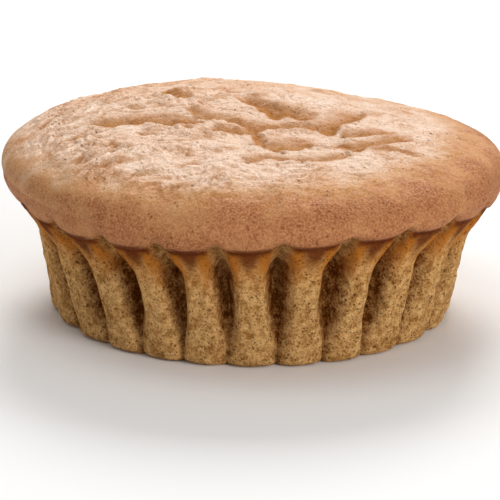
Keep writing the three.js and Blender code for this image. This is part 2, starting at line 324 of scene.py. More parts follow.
@dataclass(frozen=True)
class Fold:
    """A fold of the crust, seen from above, in millimetres. The skin breaks off at its brink, dips,
    and climbs again more gently on the left of the path, looking along it.

    Attributes:
        path: the points that the brink runs through.
        depth: how far the skin dips.
        dip: how far the lowest line lies from the brink.
        slope: how far from the brink the skin is nearly back at its level.
        fade: the lengths over which the fold starts and ends.
        steps: how many straight pieces its line is traced with.
        climb_reach: how many slopes from the brink the climb ends.
        climb_bend: how much steeper the climb is at its foot than at its end.
        roll_height: how far the brink rolls up, as a share of the depth.
        roll_start: how far from the brink the roll is highest.
        roll_width, puff_width: how wide the roll and the puff beyond the climb are.
        puff_height: how far that puff rises, as a share of the depth.
        puff_gap: how far beyond the slope the puff is highest.
        shade_before: how far the fold's shade spreads before the brink.
        shade_reach: how many slopes it spreads beyond the brink.
        dark_depth: how deep a fold is fully dark.
    """

    path: PlanLine
    depth: float
    dip: float = 0.9
    slope: float = 2.8
    fade: tuple[float, float] = (3.0, 3.0)
    steps: int = 14
    climb_reach: float = 1.15
    climb_bend: float = 1.9
    roll_height: float = 0.3
    roll_start: float = 1.2
    roll_width: float = 2.2
    puff_height: float = 0.36
    puff_gap: float = 1.0
    puff_width: float = 2.2
    shade_before: float = 0.8
    shade_reach: float = 1.35
    dark_depth: float = 0.8

    def traced(self) -> np.ndarray:
        """The path as a smooth line of short straight pieces.

        Returns:
            steps + 1 by 2 points.
        """
        knots = np.array(self.path)
        knots = np.vstack([2 * knots[0] - knots[1], knots, 2 * knots[-1] - knots[-2]])
        where = np.linspace(0, len(self.path) - 1, self.steps + 1)
        first = np.minimum(where.astype(int), len(self.path) - 2)
        t = (where - first)[:, None]
        a, b, c, d = (knots[first + k] for k in range(4))
        bend = (2 * a - 5 * b + 4 * c - d) * t**2 + (3 * b - a - 3 * c + d) * t**3
        return 0.5 * (2 * b + (c - a) * t + bend)

    def beside(self, x: np.ndarray, y: np.ndarray) -> tuple[np.ndarray, np.ndarray]:
        """Where plan points lie beside the fold.

        Args:
            x: plan positions to the right.
            y: plan positions to the back.

        Returns:
            Distance from the brink, above 0 on its left, and how fully the fold is open there.
        """
        line = self.traced()
        lengths = np.hypot(*np.diff(line, axis=0).T)
        before = np.concatenate([[0], np.cumsum(lengths)])
        distance = np.full(x.shape, np.inf)
        side = np.ones(x.shape)
        along = np.zeros(x.shape)
        for i, (start, stop) in enumerate(zip(line[:-1], line[1:])):
            dx, dy = stop - start
            share = np.clip(((x - start[0]) * dx + (y - start[1]) * dy) / (dx * dx + dy * dy), 0, 1)
            off_x = x - start[0] - share * dx
            off_y = y - start[1] - share * dy
            gap = np.hypot(off_x, off_y)
            nearer = gap < distance
            distance = np.where(nearer, gap, distance)
            side = np.where(nearer, dx * off_y - dy * off_x, side)
            along = np.where(nearer, before[i] + share * lengths[i], along)
        opening = smoothstep(along, 0, self.fade[0]) * smoothstep(before[-1] - along, 0, self.fade[1])
        return np.where(side > 0, distance, -distance), opening

    def relief(self, x: np.ndarray, y: np.ndarray) -> tuple[np.ndarray, np.ndarray, np.ndarray]:
        """What the fold does to the skin.

        Args:
            x: plan positions to the right.
            y: plan positions to the back.

        Returns:
            How far the skin dips, how far it swells, and how much of the fold's shade falls on it.
        """
        away, opening = self.beside(x, y)
        falling = 1 - np.sqrt(1 - np.clip(away / self.dip, 0, 1) ** 2)
        climbed = np.clip((away - self.dip) / (self.climb_reach * self.slope - self.dip), 0, 1)
        climbing = (1 - climbed) ** self.climb_bend
        dip = opening * np.where(away < self.dip, falling, climbing)
        rolled = np.where(away < 0, np.exp(-((away / self.roll_width) ** 2)), 0.0)
        rolled = self.roll_height * rolled * smoothstep(-away, 0, self.roll_start)
        puffed = np.exp(-(((away - self.slope - self.puff_gap) / self.puff_width) ** 2))
        swell = opening * self.depth * (rolled + self.puff_height * puffed)
        spread = np.where(away < 0, self.shade_before, self.shade_reach * self.slope)
        shade = opening * np.exp(-((away / spread) ** 2)) * min(1.0, self.depth / self.dark_depth)
        return self.depth * dip, swell, shade


# The folds of the crust: path, depth, dip, slope and fade. Each is low on the left of its path.
FOLDS: tuple[Fold, ...] = (
    # the long fold that runs in from the left, and the small lobe at its inner end
    Fold(((-37, -5.2), (-30.5, -6.5), (-24, -6.1), (-17, -6.4), (-13.8, -5.9), (-11, -4.4), (-9.8, -2.6)),
         1.25, 1.4, 4.6, (6.0, 1.0)),
    Fold(((-9.9, -2.8), (-8.8, -1.3), (-6.5, -0.8), (-4.7, -1.4), (-2.9, -3.2), (-0.5, -6.4)),
         0.85, 1.0, 3.4, (1.0, 1.0)),
    Fold(((-10.5, -7.4), (-7.5, -8.6), (-4.7, -9.3), (-2, -9.5), (-0.4, -8.6)), 0.85, 0.9, 3.4, (2.5, 1.0)),
    Fold(((-15.5, 6.2), (-14, 4.2), (-12.9, 2.4), (-12.2, 0.6), (-11.2, -1.2)), 0.75, 0.9, 2.8, (3.0, 1.5)),
    # the fold that comes from the back into the dish, and the dish's back
    Fold(((-5.5, 19), (-3.2, 14.5), (-1.5, 11), (0.8, 8), (2.3, 5.5), (3, 3), (4.2, 0.5)),
         1.4, 1.1, 3.8, (6.0, 2.0)),
    Fold(((3.4, 3.6), (5, 4.2), (6.8, 3.2), (8.4, 1.3), (11, 0.8), (13.5, 0.2)), 1.15, 1.0, 4.4, (1.0, 3.0)),
    Fold(((15.3, -8), (16.3, -4.6), (18, -2.3), (20, 0), (21.2, 3), (22.3, 6), (23.5, 10)),
         1.3, 1.2, 5.0, (2.0, 6.0)),
    Fold(((22.6, 3), (24, 5.5), (25.8, 9), (26.8, 13)), 0.5, 0.6, 1.8),
    # round the raised lobe in the middle of the dish
    Fold(((-0.3, -9), (0.6, -7), (2, -5.2), (4, -4.2), (7, -3.9), (10, -4.5), (12.7, -5.4), (15.2, -8.4)),
         1.1, 1.0, 3.2, (1.0, 1.5)),
    Fold(((-0.5, -8), (0, -11), (0.2, -14), (0.8, -17), (2.5, -19.2), (3.9, -21.5)),
         0.95, 0.8, 2.3, (1.0, 2.0)),
    Fold(((3.6, -21.4), (5.2, -20), (7.5, -19.4), (10, -18.3), (12.5, -17.4), (14.7, -16.4)),
         1.3, 1.0, 5.6, (1.5, 3.5)),
    # the folds that fan out to the right
    Fold(((14.2, -15.5), (15.6, -17.7), (17, -18.2), (18.5, -19.6), (19.3, -21.8)),
         0.85, 0.8, 2.6, (2.0, 1.0)),
    Fold(((19.3, -21.8), (21, -19), (22.5, -17.6), (24, -17), (26, -14.6), (28.5, -13), (32.3, -8)),
         1.05, 0.9, 3.2, (1.0, 4.0)),
    Fold(((21.5, -20.6), (25, -19.3), (28, -19.3), (31, -20.4), (34.5, -19.1)), 0.65, 0.7, 2.0, (2.0, 3.0)),
    Fold(((15.8, -9.2), (19, -10.2), (23, -9.7), (26.5, -8), (29, -4.6)), 0.85, 0.8, 3.0, (1.0, 4.0)),
    # the low lip before the dish
    Fold(((-3.5, -29.5), (0, -28.6), (2.5, -27), (5.5, -27.6), (9, -28.3), (13, -27), (17, -24.6),
          (19.3, -22)), 0.7, 0.9, 2.6, (3.0, 1.5)),
    Fold(((0.6, -22), (1.0, -25), (1.8, -28.3)), 0.5, 0.6, 1.5),
    # short folds of the left and the back
    Fold(((-20.5, 21), (-18.5, 17), (-17, 14.6), (-14.5, 12.4), (-11.5, 11.4)), 0.95, 1.0, 3.2, (3.0, 4.0)),
    Fold(((-28.5, 7.7), (-26, 6.8), (-23.5, 5.3), (-20.5, 4.9)), 0.65, 0.8, 2.8),
    Fold(((-9, -19.8), (-5.5, -20.6), (-1.8, -20.3)), 0.55, 0.6, 1.8, (2.0, 2.0)),
    Fold(((-22.8, -10.1), (-20.5, -10.6), (-17.6, -11.1)), 0.5, 0.6, 1.6, (1.5, 1.5)),
    Fold(((-10.8, -13.5), (-9, -13.9), (-7.2, -13.7)), 0.45, 0.5, 1.5, (1.2, 1.2)),
    Fold(((-27.2, -25.9), (-25.8, -26.6), (-24.2, -25.6)), 0.5, 0.6, 1.5, (1.0, 1.0)),
    Fold(((-23.4, -26.5), (-22, -26.8), (-20.2, -25)), 0.5, 0.6, 1.5, (1.0, 1.0)),
    Fold(((-15.4, -23.8), (-13.2, -23.6), (-11.6, -22.2)), 0.5, 0.6, 1.6, (1.2, 1.2)),
)

# Small holes that burst bubbles left in the crust: right, back, radius and depth.
PITS: tuple[tuple[float, float, float, float], ...] = (
    (-0.4, -7.3, 0.9, 1.5),
    (4.0, -20.6, 0.6, 0.9),
    (5.5, -21.6, 0.6, 0.8),
    (2.0, -14.5, 0.5, 0.8),
    (28.6, -12.9, 0.6, 0.8),
    (-22.0, -4.6, 0.5, 0.8),
    (-24.4, -3.9, 0.5, 0.7),
    (-18.3, -16.5, 0.6, 0.8),
    (-14.7, -17.3, 0.5, 0.6),
    (-32.2, -18.2, 0.6, 0.6),
    (-31.0, -9.8, 0.6, 0.6),
    (18.5, -29.6, 0.6, 0.7),
    (-1.3, -29.6, 0.6, 0.7),
    (-1.0, 5.0, 0.7, 0.6),
    (35.5, -18.5, 0.5, 0.6),
)


@dataclass(frozen=True)
class SmallWrinkles:
    """Short shallow folds between the main ones, thickest on the left of the crust, by a seeded
    draw. Millimetres and radians.

    Attributes:
        reach: the share of the crust's radius that they cover.
        sparse: the share of them that is kept on the right.
        thickening: how far to the left they go from sparse to thick.
        heading: which way most of them run, and how far that varies.
        turn: how much further their heading turns on the left, over the turning span.
        bow: how far a wrinkle's middle bows out, as a share of its half length.
        length, depth, dip, slope: the least and the most of each, as in Fold.
        fade: the share of its length over which a wrinkle starts and ends.
    """

    count: int = 170
    seed: int = 20
    reach: float = 0.9
    sparse: float = 0.4
    thickening: Span = (-15.0, 25.0)
    heading: tuple[float, float] = (0.15, 0.35)
    turn: float = 0.75
    turning: Span = (18.0, 40.0)
    bow: float = 0.22
    length: Span = (1.8, 6.0)
    depth: Span = (0.15, 0.5)
    dip: Span = (0.4, 0.7)
    slope: Span = (1.1, 1.9)
    fade: float = 0.4
    steps: int = 4

    def folds(self, radius: float) -> list[Fold]:
        """Draws the wrinkles.

        Args:
            radius: the crust's radius.

        Returns:
            One fold for each.
        """
        draw = np.random.default_rng(self.seed)
        found: list[Fold] = []
        while len(found) < self.count:
            reach = radius * self.reach * math.sqrt(draw.random())
            angle = TAU * draw.random()
            middle = np.array([reach * math.cos(angle), reach * math.sin(angle)])
            if draw.random() > lerp(self.sparse, 1.0, smoothstep(-middle[0], *self.thickening)):
                continue
            turned = self.turn * smoothstep(-middle[0], *self.turning)
            heading = draw.normal(self.heading[0] + turned, self.heading[1])
            length = draw.uniform(*self.length)
            step = np.array([math.cos(heading), math.sin(heading)]) * length / 2
            bow = np.array([-step[1], step[0]]) * draw.normal(0, self.bow)
            ends = (middle - step, middle + bow, middle + step)
            path = tuple(tuple(map(float, point)) for point in ends)
            depth = draw.uniform(*self.depth)
            dip = draw.uniform(*self.dip)
            slope = draw.uniform(*self.slope)
            fade = (self.fade * length, self.fade * length)
            found.append(Fold(path, depth, dip, slope, fade, self.steps))
        return found


@dataclass(frozen=True)
class Puckers:
    """The finest relief of the skin, which shrank as the cake cooled: low ripples, long soft puffs
    with sharp valleys between them, and fine broken lines. Both follow the grain of the skin and
    are thickest on the left. Millimetres.

    Attributes:
        height: how high the ripples are.
        slant: how far the grain climbs to the back for each unit to the right.
        straight: how far to each side the grain runs straight.
        bends: how fast it turns to the front on the left and to the back on the right.
        line_noise, break_noise, ripple_noise, dimple_noise, patch_noise: the size of each noise's
            lumps and its seed, and for the ripples its number of layers.
        line_squeeze, break_squeeze: how far the noise is squeezed across the cake and from front to
            back. Below 1 it is stretched.
        line_edge: how close to 0 the noise is along a line.
        line_left, ripple_left: how far to the left they go from their least to their most.
        line_least: how strong the lines are on the right.
        breaks: the noise over which a broken line starts.
        ripple_stretch, dimple_stretch: how many times longer the lumps are across the cake.
        ripple_squeeze, patch_squeeze: how many times shorter they are from front to back.
        ripple_count: how many radians of ripples there are in one unit of their noise.
        ripple_power, valley_power: how round the puffs are, and how narrow the valleys.
        ripple_back: how far to the back the ripples go from their most to their least.
        dimple_level: where the dimples' noise is cut.
        dimple_height: how high the dimples are beside the ripples.
        patches: the noise over which the skin goes from calm to rippled.
        calm: what is left of the ripples in a calm patch, on the right and at the back.
    """

    height: float = 0.8
    slant: float = 0.1
    straight: float = 15.0
    bends: tuple[float, float] = (0.022, 0.01)
    line_noise: tuple[float, int] = (5.0, 21)
    line_squeeze: tuple[float, float] = (0.45, 1.25)
    line_edge: float = 0.075
    line_left: Span = (-20.0, 20.0)
    line_least: float = 0.3
    break_noise: tuple[float, int] = (6.0, 22)
    break_squeeze: tuple[float, float] = (0.7, 1.0)
    breaks: Span = (-0.3, 0.15)
    ripple_noise: tuple[float, int, int] = (5.0, 31, 2)
    ripple_stretch: float = 2.4
    ripple_squeeze: float = 1.1
    ripple_count: float = 12.0
    ripple_power: float = 0.7
    valley_power: float = 1.5
    ripple_left: Span = (-25.0, 15.0)
    ripple_back: Span = (10.0, 35.0)
    dimple_noise: tuple[float, int] = (1.4, 32)
    dimple_stretch: float = 1.6
    dimple_level: float = 9.0
    dimple_height: float = 0.6
    patch_noise: tuple[float, int] = (9.0, 33)
    patch_squeeze: float = 1.5
    patches: Span = (-0.35, 0.25)
    calm: tuple[float, float, float] = (0.35, 0.6, 0.4)

    def along_grain(self, x: np.ndarray, y: np.ndarray) -> np.ndarray:
        """The same number all along a line that the puckers follow."""
        left = self.bends[0] * np.maximum(0, -x - self.straight) ** 2
        right = self.bends[1] * np.maximum(0, x - self.straight) ** 2
        return y - self.slant * x + left - right

    def lines(self, x: np.ndarray, y: np.ndarray) -> np.ndarray:
        """The fine broken lines.

        Args:
            x: plan positions to the right.
            y: plan positions to the back.

        Returns:
            1 in the middle of a line and 0 away from it.
        """
        run = self.along_grain(x, y)
        across, back = self.line_squeeze
        drawn = cloud(in_plan(across * x, back * run), *self.line_noise)
        across, back = self.break_squeeze
        broken = smoothstep(cloud(in_plan(across * x, back * run), *self.break_noise), *self.breaks)
        leftward = lerp(self.line_least, 1.0, smoothstep(-x, *self.line_left))
        return np.exp(-((drawn / self.line_edge) ** 2)) * broken * leftward

    def ripples(self, x: np.ndarray, y: np.ndarray) -> tuple[np.ndarray, np.ndarray]:
        """The ripples, with small dimples on them.

        Args:
            x: plan positions to the right.
            y: plan positions to the back.

        Returns:
            Height of the ripples, 0 to about 1, and how close each point is to a valley, 0 to 1.
        """
        run = self.along_grain(x, y)
        long_lumps = in_plan(x / self.ripple_stretch, self.ripple_squeeze * run)
        small_lumps = in_plan(x / self.dimple_stretch, run, self.dimple_level)
        patch = cloud(in_plan(x, self.patch_squeeze * y), *self.patch_noise)
        amount = lerp(self.calm[0], 1.0, smoothstep(patch, *self.patches))
        amount *= lerp(self.calm[1], 1.0, smoothstep(-x, *self.ripple_left))
        amount *= lerp(1.0, self.calm[2], smoothstep(y, *self.ripple_back))
        wave = np.abs(np.sin(self.ripple_count * cloud(long_lumps, *self.ripple_noise)))
        dimples = self.dimple_height * cloud(small_lumps, *self.dimple_noise)
        puffs = wave**self.ripple_power + dimples
        return puffs * amount, (1 - wave) ** self.valley_power * amount


@dataclass(frozen=True)
class Crust:
    """The browned crust above the tin's rim. Millimetres. Shares are of its radius, 1 where it is
    widest and 0 in the middle."""

    side: PleatedSide = field(default_factory=PleatedSide)
    radius: float = 50.0
    uneven_radius: float = 0.6
    edge_waves: Waves = ((2, 0.5, 3.4), (3, 0.3, 6.8), (5, 0.25, 10.2))
    height: float = 39.6
    widest_share: float = 0.34
    front_sag: float = 1.2
    sag_power: float = 1.5
    shoulder_power: float = 2.9
    crown_power: float = 2.4
    # the underside, which starts with a lip
    lip_groove: float = 0.25
    lip_ridge: float = 0.5
    underside_power: float = 1.2
    dent_layers: Layers = ((0.35, 7.0, 8), (0.1, 2.4, 9))
    dent_start: float = 0.3
    # the top: it is lower at the back right, and its middle has sunk
    back_drop: float = 3.6
    drop_heading: tuple[float, float] = (0.8, 0.6)
    drop_start: float = 14.0
    sink_depth: float = 2.2
    sink_radius: float = 20.0
    sink_middle: tuple[float, float] = (6.0, -8.0)
    lump_layers: Layers = ((0.3, 11.0, 11), (0.2, 4.0, 12), (0.1, 1.7, 13))
    lump_margin: float = 0.06
    # its relief, and the share of the radius where each sort of it ends
    folds: tuple[Fold, ...] = FOLDS
    wrinkles: SmallWrinkles = field(default_factory=SmallWrinkles)
    pits: tuple[tuple[float, float, float, float], ...] = PITS
    pit_edge: float = 2.0
    puckers: Puckers = field(default_factory=Puckers)
    dip_kept: float = 0.85
    line_depth: float = 0.5
    fold_end: Span = (0.8, 0.97)
    ripple_middle: float = 0.5
    ripple_end: Span = (0.88, 0.99)
    # how much painted shade the lines, the ripples' valleys and the sunken middle get beside a fold
    line_shade: float = 0.9
    valley_shade: float = 0.75
    sink_shade: float = 0.2
    section_samples: int = 4000

    def radius_at(self, bearing: np.ndarray) -> np.ndarray:
        """The widest radius of the crust."""
        return self.radius + self.uneven_radius * waves(bearing, self.edge_waves)

    def widest_at(self, bearing: np.ndarray) -> np.ndarray:
        """The height where the crust is widest."""
        level = self.side.rim_height + self.widest_share * (self.height - self.side.rim_height)
        return level - self.front_sag * np.maximum(0, np.cos(bearing)) ** self.sag_power

    def underside(self, bearing: np.ndarray, swing: np.ndarray) -> np.ndarray:
        """The crust's underside.

        Args:
            bearing: bearings in radians.
            swing: 0 at its lower edge to 1 where it is widest.

        Returns:
            N by 3 points in millimetres.
        """
        edge = self.side.points(bearing, np.ones_like(bearing))
        across = self.side.across(bearing, 1.0)
        start = np.hypot(edge[:, 0], edge[:, 1]) + lerp(self.lip_ridge, self.lip_groove, across**2)
        radius = lerp(start, self.radius_at(bearing), np.sin(swing * math.pi / 2))
        height = lerp(edge[:, 2], self.widest_at(bearing), swing**self.underside_power)
        points = self.side.lean(radius, bearing, height)
        dents = lumps(points, self.dent_layers) * smoothstep(swing, 0, self.dent_start)
        outward = np.stack([np.sin(bearing), -np.cos(bearing), np.zeros_like(bearing)], axis=-1)
        return points + dents[:, None] * outward

    def crown(
        self, bearing: np.ndarray, share: np.ndarray
    ) -> tuple[np.ndarray, np.ndarray, np.ndarray]:
        """The top of the crust.

        Args:
            bearing: bearings in radians.
            share: share of the crust's radius, 1 where it is widest and 0 in the middle.

        Returns:
            N by 3 points in millimetres, how much each lies in the shade of a fold, and how much in
            a pit, where dark is painted as shade.
        """
        widest = self.widest_at(bearing)
        points = self.side.lean(share * self.radius_at(bearing), bearing, widest)
        x, y = points[:, 0], points[:, 1]
        full = np.maximum(0, 1 - share**self.shoulder_power) ** (1 / self.crown_power)
        towards_drop = self.drop_heading[0] * x + self.drop_heading[1] * y
        drop = self.back_drop * smoothstep(towards_drop, self.drop_start, self.radius)
        from_sink = np.hypot(x - self.sink_middle[0], y - self.sink_middle[1]) / self.sink_radius
        sink = np.exp(-(from_sink**2))
        dips, swells, shade, holes = (np.zeros_like(x) for _ in range(4))
        for fold in (*self.folds, *self.wrinkles.folds(self.radius)):
            dip, swell, dark = fold.relief(x, y)
            dips = np.maximum(dips, dip)
            swells += swell
            shade = np.maximum(shade, dark)
        # painted shade: each pit is painted dark
        for across, back, radius, depth in self.pits:
            hole = np.exp(-self.pit_edge * ((x - across) ** 2 + (y - back) ** 2) / radius**2)
            dips += depth * hole
            holes = np.maximum(holes, hole)
        lines = self.puckers.lines(x, y)
        puffs, valleys = self.puckers.ripples(x, y)
        inside = 1 - smoothstep(share, *self.fold_end)
        bumps = smoothstep(1 - share, 0, self.lump_margin) * lumps(in_plan(x, y), self.lump_layers)
        ripples = self.puckers.height * (puffs - self.ripple_middle)
        relief = inside * (swells - self.dip_kept * dips - self.line_depth * lines)
        relief += ripples * (1 - smoothstep(share, *self.ripple_end))
        points[:, 2] += (self.height - widest - drop) * full + bumps
        points[:, 2] += relief - self.sink_depth * sink
        dark_lines = self.line_shade * lines
        dark_valleys = self.valley_shade * valleys
        shade = np.maximum.reduce([shade, dark_lines, dark_valleys, self.sink_shade * sink])
        return points, shade * inside, holes * inside

    def shoulder_shares(self, inner: float, step: float) -> list[float]:
        """Shares of the radius at even steps over the rounded shoulder.

        Args:
            inner: the last share.
            step: length of a step along the section, in millimetres.

        Returns:
            Shares from 1 down to inner.
        """
        # the samples crowd together at the edge, where the section is steepest
        share = 1 - (1 - inner) * np.linspace(0, 1, self.section_samples) ** 3
        rise = self.height - self.side.rim_height
        full = (1 - share**self.shoulder_power) ** (1 / self.crown_power)
        path = np.hypot(np.diff(share) * self.radius, np.diff(full) * rise * (1 - self.widest_share))
        length = np.concatenate([[0], np.cumsum(path)])
        stops = np.linspace(0, length[-1], int(length[-1] / step) + 1)
        return np.interp(stops, length, share).tolist()


# ---- Finishes ---------------------------------------------------------------------------------


class Mark(Enum):
    """What the mesh tells the material about each point, as attributes of 0 to 1."""

    BROWNING = "browning"
    TOAST = "toast"
    # painted shade in the grooves and their arches
    GROOVE = "groove"
    # painted shade in the folds, their lines, the ripples' valleys and the sunken middle
    FOLD = "fold"
    # the tabs' real scorch, and painted shade under the lip, low on the crust, in roofs, edge and pits
    TAB = "tab"
    AMBER = "amber"


@dataclass(frozen=True)
class OvenMarks:
    """Where the tin and the oven coloured the cake, and where shade is painted into its colour: in the
    grooves and their arches, just under the crust's edge, low on the crust, in the arches' roofs and round
    the top's edge. Spans named for a height run over heights above the crust's lower edge, in
    millimetres. Spans named across run over the way across a pleat, from 0 on a ridge to 1 in a groove."""

    side: PleatedSide = field(default_factory=PleatedSide)
    # the crust's edge is marked a little higher at the front
    lift: float = 0.9
    lift_turn: float = 0.25
    lift_power: float = 6.0
    groove_across: Span = (0.4, 0.85)
    # the skin starts higher in a groove than on a ridge
    skin_height_ridge: Span = (-1.2, 0.1)
    skin_height_groove: Span = (-1.4, 1.9)
    # painted shade: grooves darken with their depth in millimetres, and near the crust the whole arch
    # instead
    deep: Span = (0.4, 3.2)
    deep_height: Span = (-8.0, -3.0)
    deep_lost: float = 0.75
    arch: float = 0.45
    arch_heights: tuple[Span, Span] = ((-8.0, -2.0), (0.0, 2.5))
    # ridges turn amber on their way up, most along both their edges
    amber_height: Span = (-12.0, -3.0)
    amber_edge_across: tuple[Span, Span] = ((0.15, 0.4), (0.6, 0.85))
    amber_top_across: Span = (0.3, 0.7)
    amber_top: float = 0.45
    # a tab is scorched onto the end of each ridge, and widens upwards
    tab: float = 0.9
    tab_heights: tuple[Span, Span] = ((-8.0, -2.0), (0.0, 0.9))
    tab_across: Span = (0.3, 0.75)
    tab_widening: float = 0.09
    # painted shadow: a thin dark line runs along just under the crust's edge, but not over the grooves
    line_height: float = -0.7
    line_width: float = 1.0
    line_end_across: Span = (0.55, 0.85)
    # painted shade: the crust is painted a little darker low down, and so are the roofs of the arches
    low_crust: float = 0.2
    low_crust_heights: tuple[Span, Span] = ((0.0, 0.6), (0.5, 14.0))
    roof: float = 0.3
    roof_heights: tuple[Span, Span] = ((-5.0, -0.5), (0.5, 2.5))
    # on the top, shares of the radius: its very edge gets a little painted shade; it browns towards its
    # edge, soonest at the front and right, and a little all over at the back
    edge_tab: float = 0.16
    edge_shares: Span = (0.92, 1.0)
    toast_start: float = 0.745
    toast_front: float = 0.06
    toast_right: float = 0.095
    toast_width: float = 0.35
    back_toast: float = 0.28
    back_shares: Span = (0.1, 0.6)

    def wall(
        self,
        marks: dict[Mark, np.ndarray],
        wall: np.ndarray,
        side: np.ndarray,
        bearing: np.ndarray,
        along: np.ndarray,
        points: np.ndarray,
    ) -> None:
        """Marks the side and the crust's underside.

        Args:
            marks: arrays to fill in.
            wall: which points are on the side or the underside.
            side: which points are on the side.
            bearing: bearings of all points.
            along: climb or swing of each point.
            points: positions of all points in millimetres.
        """
        b = bearing[wall]
        climb = np.where(side, along, 1.0)[wall]
        lifted = self.lift * np.maximum(0, np.cos(b + self.lift_turn)) ** self.lift_power
        up = points[wall][:, 2] - self.side.rim_at(b) - lifted
        across = self.side.across(b, climb)
        in_groove = smoothstep(across, *self.groove_across)
        depth = np.where(side[wall], self.side.depth_at(b, climb), 0)
        # painted shade: the deeper the groove, the darker the crumb, and under the crust the whole arch
        deep = smoothstep(depth, *self.deep) * (1 - self.deep_lost * smoothstep(up, *self.deep_height))
        arch = self.arch * in_groove * band(up, *self.arch_heights)
        marks[Mark.GROOVE][wall] = np.maximum(deep, arch)
        ridge_top = self.amber_top * (1 - smoothstep(across, *self.amber_top_across))
        ridge_edge = band(across, *self.amber_edge_across)
        amber = smoothstep(up, *self.amber_height) * np.maximum(ridge_top, ridge_edge)
        marks[Mark.AMBER][wall] = amber
        centre = 1 - smoothstep(across - self.tab_widening * up, *self.tab_across)
        tab = self.tab * band(up, *self.tab_heights) * centre
        # painted shadow just under the crust's lip
        line = np.exp(-(((up - self.line_height) / self.line_width) ** 2))
        line *= 1 - smoothstep(across, *self.line_end_across)
        # painted shade low on the crust and under the arches' roofs
        low_crust = self.low_crust * band(up, *self.low_crust_heights)
        roof = self.roof * in_groove * band(up, *self.roof_heights)
        marks[Mark.TAB][wall] = np.maximum.reduce([tab, line, low_crust, roof])
        on_ridge = smoothstep(up, *self.skin_height_ridge)
        over_groove = smoothstep(up, *self.skin_height_groove)
        marks[Mark.BROWNING][wall] = lerp(on_ridge, over_groove, in_groove)
        marks[Mark.TOAST][wall] = 1.0

    def crown(
        self,
        marks: dict[Mark, np.ndarray],
        crown: np.ndarray,
        bearing: np.ndarray,
        along: np.ndarray,
    ) -> None:
        """Marks the top of the crust.

        Args:
            marks: arrays to fill in.
            crown: which points are on the top.
            bearing: bearings of all points.
            along: share of the radius of each point.
        """
        b, share = bearing[crown], along[crown]
        # painted shade at the top's outer edge
        edge = self.edge_tab * smoothstep(share, *self.edge_shares)
        marks[Mark.TAB][crown] = np.maximum(marks[Mark.TAB][crown], edge)
        marks[Mark.BROWNING][crown] = 1.0
        start = self.toast_start - self.toast_front * np.cos(b) - self.toast_right * np.sin(b)
        back = self.back_toast * smoothstep(-np.cos(b) * share, *self.back_shares)
        toast = smoothstep(share - start, 0, self.toast_width)
        marks[Mark.TOAST][crown] = np.maximum(toast, back)


@dataclass(frozen=True)
class Pores:
    """Round holes of uneven outline.

    Attributes:
        apart: usual distance between holes, in millimetres.
        hole: radius of a hole, in millimetres.
        keep: how many of the holes are kept, 0 to 1.
        wall: where a hole's wall starts and ends, in radii.
        bends: how many bends there are in the distance between holes.
        bend: how far they move the outline, as a share of that distance.
        clusters: how many clusters of kept holes there are in that distance.
        cut: the noise over which a hole is kept if keep is 0, and how far keep lowers it.
    """

    apart: float
    hole: float
    keep: float
    wall: Span = (0.55, 1.3)
    bends: float = 2.0
    bend: float = 0.35
    clusters: float = 0.45
    cut: tuple[float, float, float] = (0.62, 0.68, 0.3)

    def build(self, add: NodeMaker, mm: Socket) -> Socket:
        """Makes the pattern of holes.

        Args:
            add: adds a node to the material.
            mm: places on the cake in millimetres.

        Returns:
            1 in a hole and 0 outside.
        """
        wave = add("TexNoise", {"Vector": mm, "Scale": self.bends / self.apart, "Detail": 1.0}, "Color")
        strength = (self.bend * self.apart,) * 3
        moved = add("VectorMath", {"operation": "MULTIPLY_ADD", 0: wave, 1: strength, 2: mm})
        near = add("TexVoronoi", {"Vector": moved, "Scale": 1 / self.apart}, "Distance")
        foot, brim = (share * self.hole / self.apart for share in self.wall)
        inside = add("MapRange", {"interpolation_type": "SMOOTHSTEP", "Value": near, "From Min": foot,
                                  "From Max": brim, "To Min": 1.0, "To Max": 0.0})
        there = add("TexNoise", {"Vector": mm, "Scale": self.clusters / self.apart, "Detail": 0.0})
        low, high = (edge - self.cut[2] * self.keep for edge in self.cut[:2])
        kept = add("MapRange", {"Value": there, "From Min": low, "From Max": high})
        return add("Math", {"operation": "MULTIPLY", 0: inside, 1: kept})


